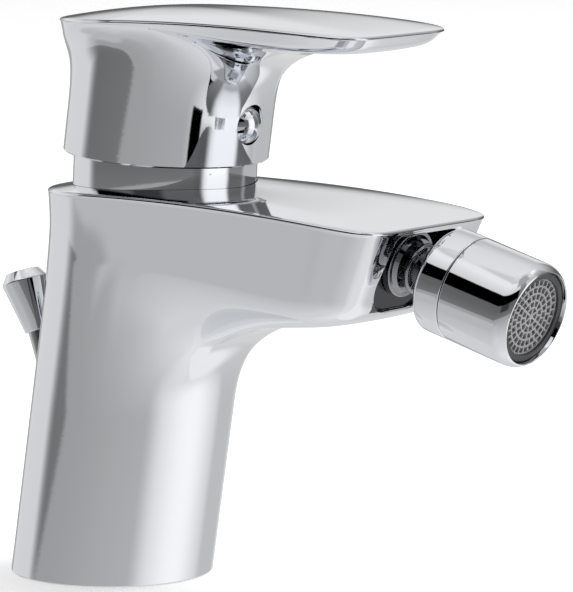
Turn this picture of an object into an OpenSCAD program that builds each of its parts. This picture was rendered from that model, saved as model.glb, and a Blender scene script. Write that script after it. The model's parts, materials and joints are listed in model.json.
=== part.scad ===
// Single-lever bidet mixer with a ball-jointed aerator and a pull rod for the pop-up waste.
// Millimetres. Origin: centre of the foot, on the bidet's rim. +X towards the spout, +Z up.

/* [Column] */
// Radius of the round column
column_r = 23.9; // [23:0.1:26]
// Forward lean of the column, degrees
column_lean = 9.3; // [8:0.1:10.5]

/* [Deck and spout] */
// Height of the deck's crest above the foot
deck_z = 93; // [88:0.5:105]
// Reach of the deck's front edge from the column's axis
deck_reach = 79.5; // [76:0.5:95]
// Reach of the deck behind the column's axis
deck_back = 25.8; // [25.5:0.1:28]
// Half the width of the deck
deck_half = 26.5; // [26:0.1:30]
// Fall of the deck from its crest to its front edge
deck_fall = 3.9; // [2:0.1:5]
// Swell of the deck between its edges
deck_crown = 0.8; // [0.3:0.1:1.5]
// Depth of the spout's front end under the crest
spout_depth = 30.5; // [28:0.5:34]
// Setback of the spout's front wall at its lower edge
spout_setback = 8; // [5:0.5:10]

/* [Lever] */
// Gap from the collar's seat up to the lever's rim
lever_gap = 7.7; // [7.2:0.1:9]
// Outer radius of the lever's rim
lever_r = 24; // [23.8:0.1:26]
// Forward lean of the lever's neck, degrees
lever_lean = 8.5; // [7:0.1:9]
// Height of the lever's crest above its rim
lever_h = 33; // [31:0.5:38]
// Reach of the lever's tip from the neck's axis
lever_reach = 64.5; // [60:0.5:80]
// Reach of the lever's top behind the neck's axis
lever_back = 30.5; // [28:0.5:32]
// Half the width of the lever's top
lever_half = 26.2; // [25.5:0.1:29]
// Swell of the lever's top
lever_crown = 2; // [1:0.1:3]
// Wall of the lever's hollow skirt at the rim
skirt_wall = 1.8; // [1.5:0.1:2]
// Lift of the lever from shut to fully open, degrees
lever_lift = 18; // [10:1:18]

/* [Cartridge] */
// Tilt of the cartridge's axis, degrees
seat_tilt = 3.6; // [2:0.1:4]
// Outer radius of the cartridge
cartridge_r = 17.5; // [17:0.1:17.8]
// Depth of the cartridge chamber under the seat
chamber_depth = 32.5; // [32.5:0.5:36]
// Outer radius of the collar under the lever
collar_r = 21.4; // [21:0.1:21.6]
// Height of the collar above the seat
collar_h = 8; // [7:0.1:8.2]
// Width of the spindle's square
spindle_w = 8; // [7:0.1:8.5]
// Depth of the lever's pivot pin under the seat
pivot_depth = 8; // [7:0.1:9]
// Radius of the pivot pin
pin_r = 2; // [1.5:0.1:2.2]
// Distance from the pivot pin down to the spindle's ball tip
tip_arm = 9; // [8.5:0.1:9.5]
// Radius of the screw cover in the lever's front
plug_r = 4.6; // [4:0.1:5]

/* [Aerator] */
// Radius of the joint's ball
ball_r = 8; // [7:0.1:8.3]
// Downward pitch of the aerator, degrees
nozzle_pitch = 15.5; // [12:0.5:18]
// Outer radius of the aerator
nozzle_r = 12.2; // [12:0.1:13.5]
// Distance from the ball's centre to the aerator's face
nozzle_out = 20.5; // [19:0.5:26]
// Distance from the ball's centre back to the collar's rear rim
nozzle_in = 5.7; // [5:0.1:6.5]
// Distance from the ball's centre back to the pocket's floor
stud_len = 17; // [16:0.5:18]
// Radius of the stud's neck behind the ball
neck_r = 3.8; // [3.2:0.1:4]
// Number of rings in the outlet grid
grid_rings = 5; // [3:1:6]

/* [Pull rod] */
// Backward tilt of the rod, degrees
rod_tilt = 19.6; // [17:0.2:21]
// Radius of the rod
rod_r = 2.5; // [2:0.1:3]
// Length of the knob
knob_len = 14.8; // [12:0.2:18]
// Radius of the knob at its widest
knob_r = 5.6; // [4.5:0.1:6.5]

/* [Connections] */
// Tapping radius of the hose ports
port_r = 4.5; // [4:0.1:5]
// Depth of the hose ports
port_depth = 14; // [10:1:16]
// Tapping radius of the fixing stud's hole
fixing_r = 3.4; // [3:0.1:4.2]
// Depth of the fixing stud's hole
fixing_depth = 16; // [12:1:20]

/* [Hidden] */
$fn = 64;
chrome = "gainsboro";
// Running clearance between round pieces, and the standing gap between stacked ones
run_gap = 0.06;
stack_gap = 0.1;
over = 1;

// Levels of the two skins, each as front, side and rear values.
// A skin leaves its round foot at start, turns out between neck and lip, and is a wall above wall.
deck_start = levels(deck_z, [-47, -53, -48]);
deck_neck = levels(deck_z, [4.5 - spout_depth, -34, -13]);
deck_lip = levels(deck_z, [1 - spout_depth, 11.5 - spout_depth, -13]);
deck_wall = levels(deck_z, [9.5 - spout_depth, 14.5 - spout_depth, -5]);
column_slope = tan(column_lean);
column_top_x = column_slope * deck_z;
deck_crest_x = column_top_x + 10;
deck_front_x = column_top_x + deck_reach;
deck_arch = deck_fall / pow(deck_front_x - deck_crest_x, 2);

// Seat of the cartridge, collar and lever
seat_x = column_top_x + 1.3;
seat_z = deck_z - 0.5;
seat_sink = 1.5;
chamber_r = cartridge_r + 0.25;
nut_r = cartridge_r + 1.4;
nut_bed = 9;
nut_top = collar_h - 2.5;
neck_bore_r = 13.5;
disc_r = 12;
disc_t = 3;
base_t = 4.8;
base_bottom = chamber_depth - 0.2;
fixed_disc_z = -base_bottom + base_t + stack_gap;
moving_disc_z = fixed_disc_z + disc_t + stack_gap;
carrier_z = moving_disc_z + disc_t + stack_gap;
carrier_top = -pivot_depth - tip_arm + 2.8;
rotor_z = carrier_top + 0.7;
rotor_top = collar_h - 0.6;
tip_r = 3.2;
seal_r = 4;
seal_t = 1.2;
way_x = 8;

// Lever
lever_x = seat_x + sin(seat_tilt) * lever_gap;
lever_z = seat_z + cos(seat_tilt) * lever_gap;
lever_start = levels(lever_z, [10, 10, 12]);
lever_neck = levels(lever_z + lever_h, [-4.6, -4, -14]);
lever_lip = levels(lever_z + lever_h, [-7.4, -3, -14]);
lever_wall = levels(lever_z + lever_h, [-4.3, -1.6, -6]);
lever_crest_z = lever_z + lever_h;
lever_crest_x = lever_x + tan(lever_lean) * lever_h + 16;
lever_tip_x = lever_crest_x - 16 + lever_reach;
lever_fall = 1.8;
lever_taper = 0.13;
lever_arch = lever_fall / pow(lever_tip_x - lever_crest_x, 2);
skirt_r = lever_r - skirt_wall;
skirt_top_r = skirt_r - 5;
skirt_depth = 14;
boss_r = 8;
boss_gap = 5.3;
spindle_top = lever_gap + skirt_depth + 3;
screw_up = 8.1;
screw_r = 2.5;
screw_len = 9;
plug_x = lever_x + lever_r + screw_up * tan(lever_lean);
plug_bed = 4;

// Ball joint and aerator
ball_ahead = 7.5;
ball_up = 13.3;
ball_x = deck_front_x + ball_ahead;
ball_z = deck_z - spout_depth + ball_up;
liner_gap = 0.1;
liner_r = ball_r + 1.2;
liner_rear = 0.44 * ball_r;
liner_front = 0.62 * ball_r;
cup_r = liner_r + 0.1;
cup_rear = 4;
seam = 1.9;
seam_gap = 0.2;
spigot_r = nozzle_r - 1.6;
spigot_out = 7;
insert_r = spigot_r - 0.35;
washer_t = 1.5;
insert_z = spigot_out + washer_t + 2 * stack_gap;
insert_out = nozzle_out - 0.9;
grid_t = 1.4;
grid_r = insert_r - 1.3;
stud_hole_r = 6;
stud_hole_len = 11;
stud_groove = 3;
stud_groove_w = 2;
water_r = 2.5;
pocket_half = 11.5;
pocket_up = 8.2;
pocket_down = 11;
pocket_corner = 8;
pocket_soft = 1.3;
// Slope of the spout's front wall, and where the pocket's axis crosses it
wall_slope = column_slope + spout_setback / (deck_z - deck_fall - deck_lip[0]);
wall_pitch = atan(wall_slope);
wall_x = column_slope * ball_z + deck_reach - (wall_slope - column_slope) * (deck_z - deck_fall - ball_z);
mouth_s = (ball_x - wall_x) / (cos(nozzle_pitch) + wall_slope * sin(nozzle_pitch));
outlet_up = 4.6;
outlet_r = 4;
supply_r = 3.2;

// Pull rod: its axis meets the foot at rod_foot_x
rod_foot_x = -2.9;
rod_clear = 0.08;
guide_r = rod_r + 1.5;
guide_top = 36;
guide_len = 8;
knob_from = 58.5;
rod_start = 2;

// Connections in the foot
port_x = 3;
port_y = 11;
fixing_x = 15;
foot_seal_r = 21;
foot_seal_w = 1.6;
foot_seal_t = 1.8;

function levels(from, steps) = [for (s = steps) from + s];

// Value in direction a, eased from front over side to rear; a higher power keeps the side's value longer
function by_side(a, v, power = 1) =
    v[1] + (v[0] - v[1]) * pow(max(cos(a), 0), power) + (v[2] - v[1]) * pow(max(-cos(a), 0), power);

// Radius of a leaf outline in direction a: a squared-off oval that narrows ahead, an ellipse behind
function leaf_r(a, reach, back, half, square, taper) =
    cos(a) >= 0
        ? pow(pow(cos(a) / reach, square) + pow(abs(sin(a)) * (1 + taper * cos(a)) / half, square), -1 / square)
        : pow(pow(cos(a) / back, 2) + pow(sin(a) / half, 2), -1 / 2);

// A round leaning foot that flows out into a leaf-shaped top.
// Each direction has one profile: a straight rise, a rational cubic, a wall, a small edge and the top.
module leaf_skin(foot, radius, lean, foot_tilt, reach, back, half, square, taper, crest, arch, crown,
                 start, neck, lip, wall, setback, flare, flare_z, pull, pull_ease, ease, bunch, sides) {
    edge_r = 0.8;
    curve_steps = 18;
    wall_steps = 4;
    top_steps = [0.97, 0.8, 0.45];
    slope = tan(lean);
    axis_x = foot.x + slope * (crest.y - foot.y);
    function turn(i) = let (t = 360 * i / sides - 180) t - bunch * sin(t);
    function outline(a) = leaf_r(a, reach, back, half, square, taper);
    function top_z(x) = crest.y - arch * pow(x - crest.x, 2);
    // Levels ease ahead by the direction and by the share of the reach, and behind by the direction
    function level(a, v) =
        let (share = max(outline(a) * cos(a) / reach, 0))
        let (ahead = pow(max(cos(a), 0), ease[0]) * pow(share, ease[1]))
        v[1] + (v[0] - v[1]) * ahead + (v[2] - v[1]) * pow(max(-cos(a), 0), ease[0]);
    function edge_z(a) = top_z(axis_x + outline(a) * cos(a));
    function wall_r(a, z) =
        let (e = edge_z(a), f = max(0, min(1, (z - flare_z) / (e - flare_z))))
        let (below = (e - z) / (e - level(a, lip)))
        outline(a) - by_side(a, setback, 2) * below - by_side(a, flare) * (1 - f * f);
    function at(a, r, z) = [foot.x + slope * (z - foot.y) + r * cos(a), r * sin(a), z];
    function curve(a, t) =
        let (b0 = pow(1 - t, 3), b1 = 3 * pow(1 - t, 2) * t * by_side(a, pull[0], pull_ease))
        let (b2 = 3 * (1 - t) * t * t * by_side(a, pull[1], pull_ease), b3 = pow(t, 3), all = b0 + b1 + b2 + b3)
        let (z2 = level(a, lip), z3 = level(a, wall))
        at(a, (radius * (b0 + b1) + wall_r(a, z2) * b2 + wall_r(a, z3) * b3) / all,
           (level(a, start) * b0 + level(a, neck) * b1 + z2 * b2 + z3 * b3) / all);
    function wall_z(a, t) = level(a, wall) + (edge_z(a) - edge_r - level(a, wall)) * t;
    function top(a, q) =
        let (r = (outline(a) - edge_r) * q)
        at(a, r, top_z(axis_x + r * cos(a)) + crown * (1 - q * q));
    angles = [for (i = [0 : sides - 1]) turn(i)];
    rows = concat(
        [[for (a = angles) at(a, radius, foot.y - tan(foot_tilt) * radius * cos(a))]],
        [for (k = [0 : curve_steps]) [for (a = angles) curve(a, k / curve_steps)]],
        [for (k = [1 : wall_steps]) [for (a = angles) at(a, wall_r(a, wall_z(a, k / wall_steps)),
                                                         wall_z(a, k / wall_steps))]],
        [for (k = [45, 90]) [for (a = angles) at(a, outline(a) - edge_r * (1 - cos(k)),
                                                 edge_z(a) - edge_r * (1 - sin(k)))]],
        [for (q = top_steps) [for (a = angles) top(a, q)]]
    );
    points = concat([for (row = rows) each row], [top(0, 0)]);
    last = len(rows) - 1;
    apex = len(points) - 1;
    function id(k, i) = k * sides + i % sides;
    faces = concat(
        [[for (i = [0 : sides - 1]) id(0, i)]],
        [for (k = [0 : last - 1], i = [0 : sides - 1]) [id(k, i), id(k + 1, i), id(k + 1, i + 1)]],
        [for (k = [0 : last - 1], i = [0 : sides - 1]) [id(k, i), id(k + 1, i + 1), id(k, i + 1)]],
        [for (i = [0 : sides - 1]) [id(last, i + 1), id(last, i), apex]]
    );
    polyhedron(points, faces, convexity = 8);
}

// Frames: cartridge seat, swivel ball with its axis along the nozzle, rod axis at the foot, lever's screw
module on_seat(up = 0) {
    translate([seat_x, 0, seat_z]) rotate([0, seat_tilt, 0]) translate([0, 0, up]) children();
}

module on_ball(out = 0) {
    translate([ball_x, 0, ball_z]) rotate([0, 90 + nozzle_pitch, 0]) translate([0, 0, out]) children();
}

module on_rod(up = 0) {
    translate([rod_foot_x, 0, 0]) rotate([0, -rod_tilt, 0]) translate([0, 0, up]) children();
}

module on_screw(out = 0) {
    translate([plug_x, 0, lever_z + screw_up]) rotate([0, 90, 0]) translate([0, 0, out]) children();
}

module ring(r_out, r_in, h) {
    difference() {
        cylinder(h = h, r = r_out);
        translate([0, 0, -over]) cylinder(h = h + 2 * over, r = r_in);
    }
}

// Straight drilling from one point to another
module drilling(from, to, r) {
    d = to - from;
    translate(from)
        rotate([0, acos(d.z / norm(d)), atan2(d.y, d.x)])
            rotate([0, 0, 130]) cylinder(h = norm(d), r = r);
}

// Places of the three water ways through the cartridge's lower pieces
module at_ways(up) {
    for (a = [60, 180, 300]) rotate([0, 0, a]) translate([way_x, 0, up]) children();
}

// Outline of the ball joint's recess: square corners at the deck, round ones below
module pocket_outline() {
    inner = pocket_half - pocket_corner;
    rotate(-90) {
        translate([-pocket_half, -pocket_up])
            square([2 * pocket_half, pocket_up + pocket_down - pocket_corner]);
        translate([-inner, 0]) square([2 * inner, pocket_down]);
        for (s = [-1, 1])
            translate([s * inner, pocket_down - pocket_corner]) circle(r = pocket_corner);
    }
}

// Bevel of the recess's rim, on the spout's front wall
module pocket_rim() {
    skew = pocket_soft * tan(wall_pitch - nozzle_pitch);
    on_ball(-mouth_s) rotate([0, wall_pitch - nozzle_pitch, 0]) hull() {
        translate([skew, 0, -pocket_soft]) linear_extrude(0.1) offset(-0.1) pocket_outline();
        linear_extrude(over) offset(pocket_soft) pocket_outline();
    }
}

module mixer_body() {
    color(chrome) difference() {
        leaf_skin(foot = [0, 0], radius = column_r, lean = column_lean, foot_tilt = 0,
                  reach = deck_reach, back = deck_back, half = deck_half, square = 9, taper = 0,
                  crest = [deck_crest_x, deck_z], arch = deck_arch, crown = deck_crown,
                  start = deck_start, neck = deck_neck, lip = deck_lip, wall = deck_wall,
                  setback = [spout_setback, 0.8, 0.5], flare = [0, 0.8, 1.4], flare_z = deck_z - 15,
                  pull = [[2.2, 1, 1], [3, 1, 1]], pull_ease = 4, ease = [2, 1.5], bunch = 34, sides = 88);
        on_seat(-seat_sink) cylinder(h = 10, r = collar_r + 0.2);
        on_seat(-nut_bed) cylinder(h = nut_bed, r = nut_r + run_gap);
        on_seat(-chamber_depth) cylinder(h = chamber_depth, r = chamber_r);
        on_ball(-stud_len) linear_extrude(2 * stud_len) pocket_outline();
        pocket_rim();
        on_ball(-stud_len - stud_hole_len) cylinder(h = stud_hole_len + over, r = stud_hole_r);
        drilling([seat_x + chamber_r - 3, 0, ball_z + outlet_up],
                 [ball_x - stud_len - 7, 0, ball_z + outlet_up], outlet_r);
        for (s = [-1, 1]) {
            translate([port_x, s * port_y, -over]) cylinder(h = port_depth + over, r = port_r);
            drilling([port_x, s * port_y, port_depth - 2],
                     [seat_x - 2, s * 6.9, seat_z - chamber_depth + 4], supply_r);
        }
        translate([fixing_x, 0, -over]) cylinder(h = fixing_depth + over, r = fixing_r);
        translate([0, 0, -over]) ring(foot_seal_r + foot_seal_w / 2, foot_seal_r - foot_seal_w / 2,
                                      foot_seal_t + over);
        on_rod(-2 * over) cylinder(h = knob_from, r = rod_r + 0.3);
        on_rod(guide_top - guide_len) cylinder(h = knob_from, r = guide_r + run_gap);
    }
}

module foot_seal() {
    half = foot_seal_w / 2 - run_gap;
    color("dimgray") ring(foot_seal_r + half, foot_seal_r - half, foot_seal_t);
}

module collar_ring() {
    lip_t = 1.2;
    color(chrome) on_seat(-seat_sink) {
        ring(collar_r, nut_r + 0.5, collar_h + seat_sink - lip_t);
        translate([0, 0, collar_h + seat_sink - lip_t]) ring(collar_r, neck_bore_r + 2.2, lip_t);
    }
}

module cartridge_nut() {
    color("goldenrod") on_seat(-nut_bed) {
        ring(nut_r, cartridge_r - 2.3, nut_bed - 1);
        translate([0, 0, nut_bed - 1]) difference() {
            cylinder(h = nut_top + 1, r = nut_r, $fn = 6);
            translate([0, 0, -over]) cylinder(h = nut_top + 3 * over, r = cartridge_r - 2.3);
        }
    }
}

module cartridge_housing() {
    foot = fixed_disc_z - 0.5;
    cavity = -carrier_top - 0.5;
    color("whitesmoke") on_seat() difference() {
        union() {
            translate([0, 0, foot]) cylinder(h = -foot - nut_bed - stack_gap, r = cartridge_r);
            translate([0, 0, foot]) cylinder(h = -foot + rotor_top - 1, r = cartridge_r - 2.4);
        }
        translate([0, 0, -chamber_depth]) cylinder(h = chamber_depth - cavity, r = cartridge_r - 2);
        translate([0, 0, -chamber_depth]) cylinder(h = 2 * chamber_depth, r = neck_bore_r);
    }
}

module cartridge_base() {
    color("slategray") on_seat(-base_bottom) difference() {
        union() {
            cylinder(h = base_t - 0.6, r = cartridge_r - 0.1);
            cylinder(h = base_t, r = cartridge_r - 2.1);
        }
        at_ways(-over) cylinder(h = chamber_depth, r = seal_r - 1.5);
        at_ways(-over) cylinder(h = seal_t + over, r = seal_r);
    }
}

module cartridge_seals() {
    color("black") on_seat(-base_bottom - 0.15) at_ways(0)
        ring(seal_r - run_gap, seal_r - 1.4, seal_t + 0.1);
}

module fixed_disc() {
    color("white") on_seat(fixed_disc_z) difference() {
        cylinder(h = disc_t, r = cartridge_r - 2.1);
        at_ways(-over) cylinder(h = chamber_depth, r = seal_r - 1.5);
    }
}

module moving_disc() {
    color("white") on_seat(moving_disc_z) difference() {
        cylinder(h = disc_t, r = disc_r);
        translate([0, 0, -over]) cylinder(h = disc_t / 2 + over, r = disc_r - 4);
    }
}

module disc_carrier() {
    flare_h = 2;
    color("darkorange") on_seat(carrier_z) difference() {
        cylinder(h = carrier_top - carrier_z, r = disc_r);
        translate([0, 0, 0.5]) cylinder(h = carrier_top - carrier_z, r = tip_r + 0.3);
        translate([0, 0, carrier_top - carrier_z - flare_h])
            cylinder(h = flare_h + over, r1 = tip_r + 0.3, r2 = tip_r + 1.8);
    }
}

module cartridge_rotor() {
    swing = (rotor_top + pivot_depth) * sin(lever_lift) + spindle_w / 2 + 0.5;
    color("ivory") on_seat(rotor_z) difference() {
        cylinder(h = rotor_top - rotor_z, r = neck_bore_r - run_gap);
        translate([-swing, -spindle_w / 2 - 0.3, -over])
            cube([swing + spindle_w / 2 + 1.5, spindle_w + 0.6, rotor_top - rotor_z + 2 * over]);
        translate([0, 0, -rotor_z - pivot_depth]) rotate([90, 0, 0])
            cylinder(h = 4 * neck_bore_r, r = pin_r + 0.02, center = true);
    }
}

module pivot_pin() {
    color("silver") on_seat(-pivot_depth) rotate([90, 0, 0])
        cylinder(h = 2 * neck_bore_r - 3, r = pin_r, center = true);
}

module stop_ring() {
    color("firebrick") on_seat(rotor_top + stack_gap) ring(neck_bore_r - 0.5, neck_bore_r - 3.2, 0.8);
}

module lever_spindle() {
    tip_z = -pivot_depth - tip_arm;
    shank = spindle_w - 1.6;
    color("goldenrod") on_seat() difference() {
        union() {
            translate([-spindle_w / 2, -spindle_w / 2, -pivot_depth - 3.5])
                cube([spindle_w, spindle_w, spindle_top + pivot_depth + 3.5]);
            translate([0, 0, tip_z]) cylinder(h = tip_arm - 3, r1 = tip_r - 1.3, r2 = shank / 2);
            translate([0, 0, tip_z]) sphere(r = tip_r);
        }
        translate([0, 0, -pivot_depth]) rotate([90, 0, 0])
            cylinder(h = 2 * spindle_w, r = pin_r + run_gap, center = true);
    }
}

module spindle_sleeve() {
    w = spindle_w + 2;
    foot = lever_gap + boss_gap + 0.2;
    color("dimgray") on_seat(foot) difference() {
        translate([-w / 2, -w / 2, 0]) cube([w, w, spindle_top - foot]);
        translate([-spindle_w / 2 - stack_gap, -spindle_w / 2 - stack_gap, -over])
            cube([spindle_w + 2 * stack_gap, spindle_w + 2 * stack_gap, spindle_top]);
        translate([0, 0, screw_up]) rotate([0, 90, 0]) cylinder(h = w, r = screw_r + 0.3);
    }
}

module lever() {
    socket = spindle_w + 2 + 2 * stack_gap;
    color(chrome) difference() {
        leaf_skin(foot = [lever_x, lever_z], radius = lever_r, lean = lever_lean, foot_tilt = seat_tilt,
                  reach = lever_reach, back = lever_back, half = lever_half, square = 6, taper = lever_taper,
                  crest = [lever_crest_x, lever_crest_z], arch = lever_arch, crown = lever_crown,
                  start = lever_start, neck = lever_neck, lip = lever_lip, wall = lever_wall,
                  setback = [5, 0.5, 0.5], flare = [0, 0.5, 2], flare_z = lever_z + lever_h - 13,
                  pull = [[2.8, 1, 1], [4, 1, 1]], pull_ease = 1, ease = [3, 0], bunch = 31, sides = 72);
        difference() {
            on_seat(lever_gap - over) cylinder(h = skirt_depth + over, r1 = skirt_r, r2 = skirt_top_r);
            on_seat(lever_gap + boss_gap) cylinder(h = skirt_depth, r = boss_r);
        }
        on_seat(lever_gap) translate([-socket / 2, -socket / 2, -over])
            cube([socket, socket, spindle_top - lever_gap + over + stack_gap]);
        on_screw(-lever_r) cylinder(h = 2 * lever_r, r = screw_r + stack_gap);
        on_screw(-plug_bed) cylinder(h = lever_r, r = plug_r + stack_gap);
    }
}

module set_screw() {
    color("dimgray") on_screw(-plug_bed - screw_len - 4) difference() {
        cylinder(h = screw_len, r = screw_r);
        translate([0, 0, screw_len - 3]) cylinder(h = 4, r = 1.45, $fn = 6);
    }
}

module screw_cover() {
    dome = 3.2;
    rim = 2.4;
    dome_r = (plug_r * plug_r + dome * dome) / (2 * dome);
    color(chrome) on_screw(-plug_bed + stack_gap) {
        cylinder(h = rim, r = plug_r);
        intersection() {
            translate([0, 0, rim + dome - dome_r]) sphere(r = dome_r);
            translate([0, 0, rim - 0.1]) cylinder(h = dome + over, r = plug_r);
        }
    }
}

module ball_stud() {
    flange = 2;
    shoulder = 0.9;
    bead_r = 0.8;
    bead_s = -stud_len + flange + 3;
    foot = -stud_len + stack_gap;
    color("silver") on_ball() difference() {
        union() {
            sphere(r = ball_r);
            translate([0, 0, foot]) cylinder(h = stud_len - ball_r / 2, r = neck_r);
            translate([0, 0, foot]) cylinder(h = flange, r = ball_r);
            translate([0, 0, foot + flange]) cylinder(h = shoulder, r1 = ball_r - 1, r2 = ball_r - 1.7);
            translate([0, 0, bead_s]) rotate_extrude() {
                translate([0, -bead_r]) square([stud_hole_r - bead_r, 2 * bead_r]);
                translate([stud_hole_r - bead_r, 0]) circle(r = bead_r, $fn = 32);
            }
            translate([0, 0, -stud_len - stud_hole_len + over])
                cylinder(h = stud_hole_len, r = stud_hole_r - run_gap);
        }
        translate([0, 0, -2 * stud_len]) cylinder(h = 4 * stud_len, r = water_r);
        translate([0, 0, ball_r - 2]) cylinder(h = ball_r, r = water_r + 1.5);
        translate([0, 0, -stud_len - stud_groove]) ring(stud_hole_r + over, stud_hole_r - 1.3, stud_groove_w);
    }
}

module stud_seal() {
    color("black") on_ball(-stud_len - stud_groove + stack_gap)
        ring(stud_hole_r - run_gap, stud_hole_r - 1.25, stud_groove_w - 2 * stack_gap);
}

module ball_liner() {
    color("white") on_ball() difference() {
        intersection() {
            sphere(r = liner_r);
            translate([0, 0, -liner_rear]) cylinder(h = liner_rear + liner_front, r = 2 * liner_r);
        }
        sphere(r = ball_r + liner_gap);
    }
}

module swivel_collar() {
    mouth_r = sqrt(cup_r * cup_r - cup_rear * cup_rear);
    rear_r = 1.8;
    color(chrome) on_ball() difference() {
        union() {
            translate([0, 0, -nozzle_in]) rotate_extrude() {
                square([nozzle_r - rear_r, nozzle_in + seam]);
                translate([0, rear_r]) square([nozzle_r, nozzle_in + seam - rear_r]);
                translate([nozzle_r - rear_r, rear_r]) circle(r = rear_r);
            }
            translate([0, 0, seam - over]) cylinder(h = spigot_out - seam + over, r = spigot_r - run_gap);
        }
        intersection() {
            sphere(r = cup_r);
            translate([0, 0, -cup_rear]) cylinder(h = 4 * cup_r, r = 2 * cup_r);
        }
        translate([0, 0, -nozzle_in - 0.01])
            cylinder(h = nozzle_in - cup_rear + 0.02, r1 = mouth_r + 0.7, r2 = mouth_r);
        cylinder(h = 4 * cup_r, r = 6);
    }
}

module aerator_housing() {
    front_len = 4.5;
    front_r = 2 * front_len;
    foot = seam + seam_gap;
    color(chrome) on_ball() difference() {
        union() {
            translate([0, 0, foot]) cylinder(h = nozzle_out - front_len - foot, r = nozzle_r);
            translate([0, 0, nozzle_out - front_len]) rotate_extrude() intersection() {
                square([nozzle_r, front_len]);
                translate([nozzle_r - front_r, 0]) circle(r = front_r);
            }
        }
        translate([0, 0, seam]) cylinder(h = nozzle_out, r = spigot_r);
    }
}

module aerator_washer() {
    color("black") on_ball(spigot_out + stack_gap) ring(insert_r, insert_r - 3.4, washer_t);
}

module aerator_insert() {
    color("gray") on_ball(insert_z) difference() {
        cylinder(h = insert_out - insert_z, r = insert_r);
        translate([0, 0, 2]) cylinder(h = 2 * nozzle_out, r = grid_r);
        translate([0, 0, -over]) cylinder(h = 2 * nozzle_out, r = insert_r - 4);
    }
}

module aerator_grid() {
    bar = 0.42;
    hub_r = 0.7;
    pitch = (grid_r - hub_r) / grid_rings;
    color("darkgray") on_ball(insert_out - grid_t - 0.6) {
        cylinder(h = grid_t, r = hub_r);
        for (k = [1 : grid_rings])
            ring(hub_r + k * pitch - (k == grid_rings ? run_gap : 0), hub_r + k * pitch - bar, grid_t);
        for (k = [0 : grid_rings - 1], i = [0 : 6 * (k + 1) - 1])
            rotate([0, 0, 60 * i / (k + 1)])
                translate([hub_r + k * pitch - 0.1, -bar / 2, 0])
                    cube([pitch - bar + 0.2, bar, grid_t]);
    }
}

module rod_guide() {
    color("white") on_rod(guide_top - guide_len + stack_gap)
        ring(guide_r, rod_r + rod_clear, guide_len - 1);
}

module pull_rod() {
    color("silver") on_rod(rod_start) cylinder(h = knob_from - rod_start + 4, r = rod_r);
}

module rod_knob() {
    cap = 2.4;
    color(chrome) on_rod(knob_from) difference() {
        union() {
            cylinder(h = knob_len - cap, r1 = knob_r - 2.4, r2 = knob_r);
            translate([0, 0, knob_len - cap]) cylinder(h = cap, r1 = knob_r, r2 = knob_r - 1.6);
        }
        translate([0, 0, -over]) cylinder(h = 5 + over + stack_gap, r = rod_r + 0.02);
    }
}

mixer_body();
foot_seal();
collar_ring();
cartridge_nut();
cartridge_housing();
cartridge_base();
cartridge_seals();
fixed_disc();
ball_stud();
stud_seal();
rod_guide();
cartridge_rotor();
pivot_pin();
stop_ring();
disc_carrier();
moving_disc();
lever();
lever_spindle();
spindle_sleeve();
set_screw();
screw_cover();
ball_liner();
swivel_collar();
aerator_housing();
aerator_washer();
aerator_insert();
aerator_grid();
pull_rod();
rod_knob();
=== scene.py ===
"""Looks of a single-lever bidet mixer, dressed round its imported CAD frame.

The chromed skins are worked out on fine grids, by the same kinds of formula as the solids. The pieces inside
keep their CAD meshes and get materials of their own. Lengths are millimetres, and metres in the meshes.
"""
import json
import math

import bpy
import numpy as np
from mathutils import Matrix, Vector


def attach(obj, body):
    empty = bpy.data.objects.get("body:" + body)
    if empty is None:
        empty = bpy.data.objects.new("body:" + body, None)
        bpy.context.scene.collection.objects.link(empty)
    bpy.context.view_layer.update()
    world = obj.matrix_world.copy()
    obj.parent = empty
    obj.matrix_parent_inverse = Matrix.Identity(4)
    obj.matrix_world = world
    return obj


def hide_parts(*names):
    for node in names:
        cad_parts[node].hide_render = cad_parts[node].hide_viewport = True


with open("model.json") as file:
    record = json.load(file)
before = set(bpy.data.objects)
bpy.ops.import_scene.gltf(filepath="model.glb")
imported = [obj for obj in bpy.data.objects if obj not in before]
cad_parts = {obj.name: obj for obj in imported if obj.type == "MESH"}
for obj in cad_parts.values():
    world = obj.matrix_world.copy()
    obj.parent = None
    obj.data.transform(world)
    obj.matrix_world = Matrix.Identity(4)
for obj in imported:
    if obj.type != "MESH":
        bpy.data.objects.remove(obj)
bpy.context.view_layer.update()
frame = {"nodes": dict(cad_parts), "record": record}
MM = 0.001
TAU = 2 * math.pi
TINY = 1e-9
SHARP = math.radians(38)

# Column and deck
COLUMN_R = 23.9
COLUMN_SLOPE = math.tan(math.radians(9.3))
DECK_Z = 93.0
COLUMN_TOP_X = COLUMN_SLOPE * DECK_Z

# Seat of the collar in the deck, and the chamber under it
SEAT = np.array([COLUMN_TOP_X + 1.3, 0.0, DECK_Z - 0.5])
SEAT_TILT = math.radians(3.6)
SEAT_SINK, SEAT_GAP = 1.5, 0.2
COLLAR_R, COLLAR_H = 21.4, 8.0
NUT_R, NUT_BED, RUN_GAP = 18.9, 9.0, 0.06
CARTRIDGE_R, CARTRIDGE_GAP, CHAMBER_DEPTH = 17.5, 0.25, 32.5

# Lever, its hollow skirt and its socket
LEVER_GAP, LEVER_R, LEVER_H = 7.7, 24.0, 33.0
LEVER_SLOPE = math.tan(math.radians(8.5))
SKIRT_R, SKIRT_TOP_R, SKIRT_DEPTH = 22.2, 17.2, 14.0
BOSS_R, BOSS_GAP, SOCKET, SPINDLE_IN = 8.0, 5.3, 10.2, 3.0
SPINDLE_TOP = LEVER_GAP + SKIRT_DEPTH + SPINDLE_IN
LEVER_X = SEAT[0] + math.sin(SEAT_TILT) * LEVER_GAP
LEVER_Z = SEAT[2] + math.cos(SEAT_TILT) * LEVER_GAP
LEVER_TOP_Z = LEVER_Z + LEVER_H
LEVER_TOP_X = LEVER_X + LEVER_SLOPE * LEVER_H

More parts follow.
